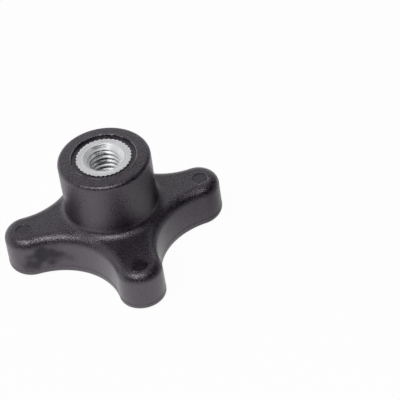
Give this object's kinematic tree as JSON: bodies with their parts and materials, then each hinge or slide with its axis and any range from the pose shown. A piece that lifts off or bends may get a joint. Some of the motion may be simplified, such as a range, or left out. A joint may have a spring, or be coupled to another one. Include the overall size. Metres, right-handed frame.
{
  "type": "star knob",
  "caption": "Black moulded star knob with rounded arms, a tall round hub, a closed face and a plated steel bush with a blind metric thread.",
  "frame": {"origin": "centre of the closed face, on the knob's axis; the closed face lies on Z = 0", "axes": "+Z along the thread's axis, out of the hub end where the stud goes in; the arms point along X and Y"},
  "size_m": [0.063, 0.063, 0.0306],
  "materials": {
    "moulded_plastic": "fine spark-eroded matte, smoother on the side walls",
    "zinc_plated_steel": "bright zinc plate over turned steel"
  },
  "bodies": {
    "root": {"knob_body": "moulded_plastic", "threaded_bush": "zinc_plated_steel"}
  },
  "joints": []
}
